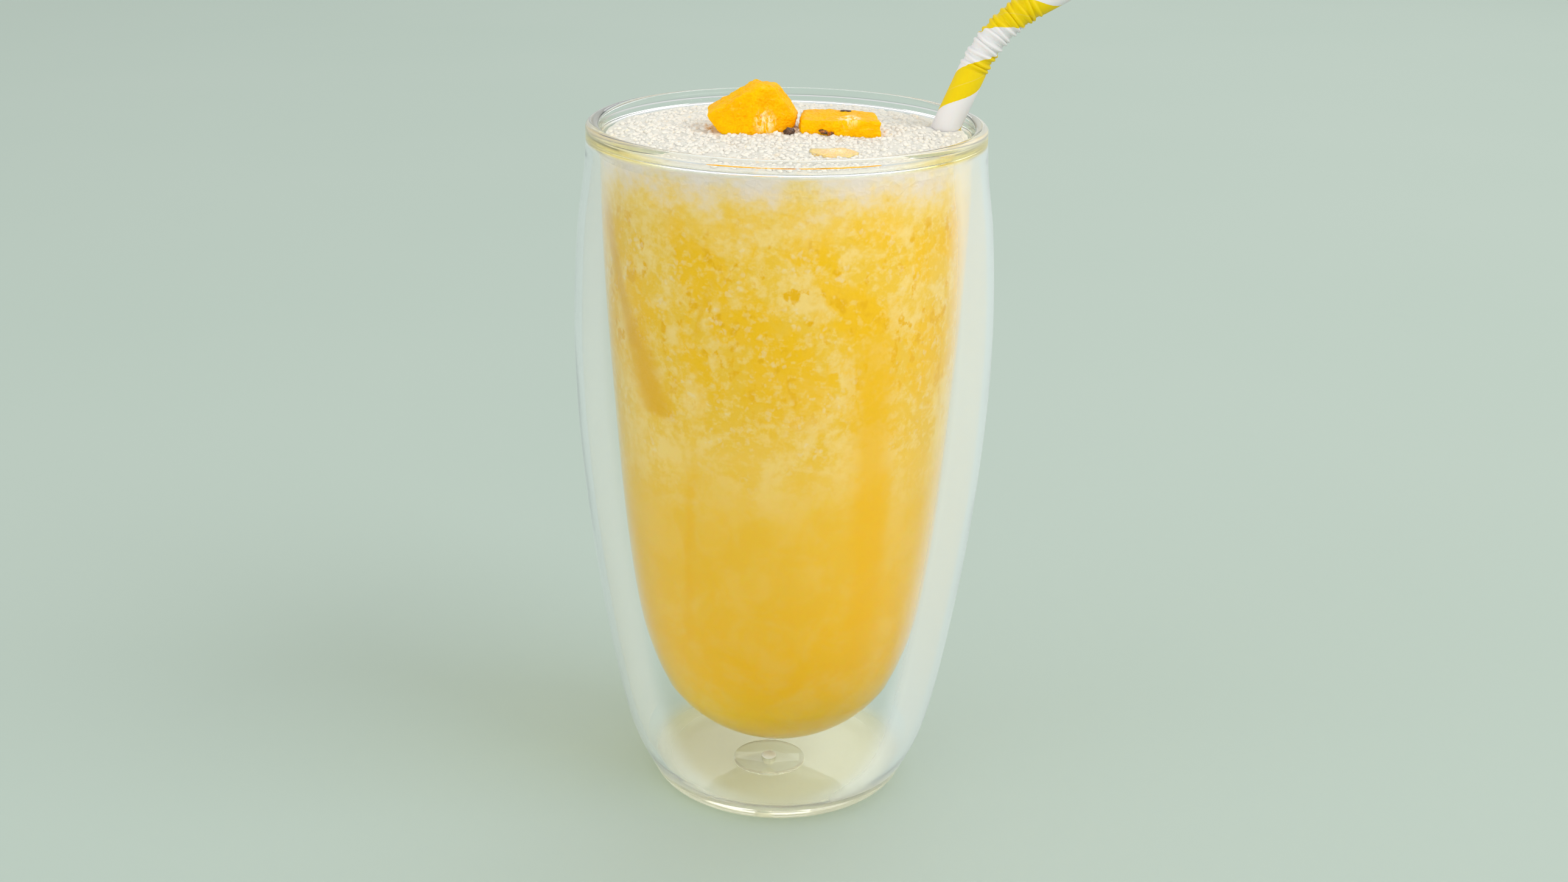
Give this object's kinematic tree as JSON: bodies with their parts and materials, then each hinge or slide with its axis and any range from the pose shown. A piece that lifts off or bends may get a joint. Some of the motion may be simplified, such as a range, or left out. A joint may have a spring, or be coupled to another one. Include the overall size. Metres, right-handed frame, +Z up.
{
  "type": "mango passion fruit cooler",
  "caption": "Iced mango and passion fruit slush with ice foam, mango pieces and a striped paper straw, served in a tall double-walled glass tumbler.",
  "frame": {"origin": "on the glass's axis, in the plane its base stands on", "axes": "+Z up along the glass, +X towards the side the straw leans to"},
  "size_m": [0.1236, 0.0892, 0.1913],
  "materials": {
    "clear_glass": "clear, smooth borosilicate",
    "silicone": "translucent silicone",
    "slush": "wet, grainy at the top, smooth below",
    "ice_foam": "crushed ice and froth",
    "mango": "moist cut fruit",
    "straw_paper": "smooth paper, yellow spiral stripe"
  },
  "bodies": {
    "root": {"double_wall_glass": "clear_glass", "vent_plug": "silicone", "slush_drink": "slush", "ice_foam": "ice_foam", "mango_chunk_tall": "mango", "mango_chunk_flat": "mango", "straw": "straw_paper"}
  },
  "joints": []
}
